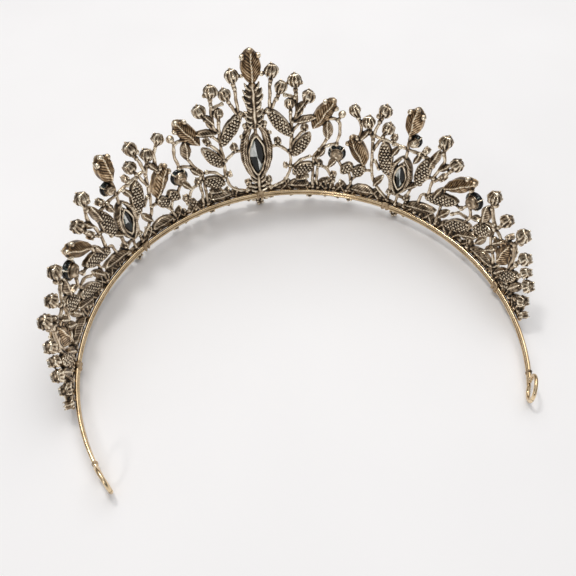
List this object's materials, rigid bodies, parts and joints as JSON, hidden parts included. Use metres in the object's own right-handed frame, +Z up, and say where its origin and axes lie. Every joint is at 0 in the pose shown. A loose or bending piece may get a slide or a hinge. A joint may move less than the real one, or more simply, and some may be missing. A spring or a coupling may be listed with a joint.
{
  "type": "tiara",
  "caption": "Filigree tiara: a doubled wire band with ribbon eyes carries cast leaf-and-bud panels set with dark pointed stones and small clear ones.",
  "frame": {"origin": "centre of the overall box on the surface that the tiara stands on", "axes": "+X across the head to the wearer's left, +Y to the front of the tiara, +Z up"},
  "size_m": [0.141, 0.1034, 0.0613],
  "materials": {
    "antique_cast_alloy": "antiqued bronze-gold casting with dark recesses",
    "band_wire": "smooth pale gold wire",
    "solder": "dull gold solder",
    "black_stone": "polished faceted black glass",
    "clear_stone": "faceted clear glass with a foiled back"
  },
  "bodies": {
    "root": {"casting_solder_joints": "solder", "centre_bud_stones": "clear_stone", "centre_casting": "antique_cast_alloy", "centre_pave_stones": "clear_stone", "centre_stone": "black_stone", "finial_stone": "black_stone", "left_end_bud_stones": "clear_stone", "left_end_casting": "antique_cast_alloy", "left_end_pave_stones": "clear_stone", "left_end_stone": "black_stone", "left_inner_round_stone": "black_stone", "left_inner_stone": "black_stone", "left_medallion_drop_stone": "black_stone", "left_medallion_stone": "black_stone", "left_outer_round_stone": "black_stone", "left_outer_stone": "black_stone", "left_shoulder_stone": "black_stone", "left_side_bud_stones": "clear_stone", "left_side_casting": "antique_cast_alloy", "left_side_finial_stone": "black_stone", "left_side_pave_stones": "clear_stone", "lower_band_wire": "band_wire", "neck_solder_wraps": "solder", "right_end_bud_stones": "clear_stone", "right_end_casting": "antique_cast_alloy", "right_end_pave_stones": "clear_stone", "right_end_stone": "black_stone", "right_inner_round_stone": "black_stone", "right_inner_stone": "black_stone", "right_medallion_drop_stone": "black_stone", "right_medallion_stone": "black_stone", "right_outer_round_stone": "black_stone", "right_outer_stone": "black_stone", "right_shoulder_stone": "black_stone", "right_side_bud_stones": "clear_stone", "right_side_casting": "antique_cast_alloy", "right_side_finial_stone": "black_stone", "right_side_pave_stones": "clear_stone", "upper_band_wire": "band_wire"}
  },
  "joints": []
}
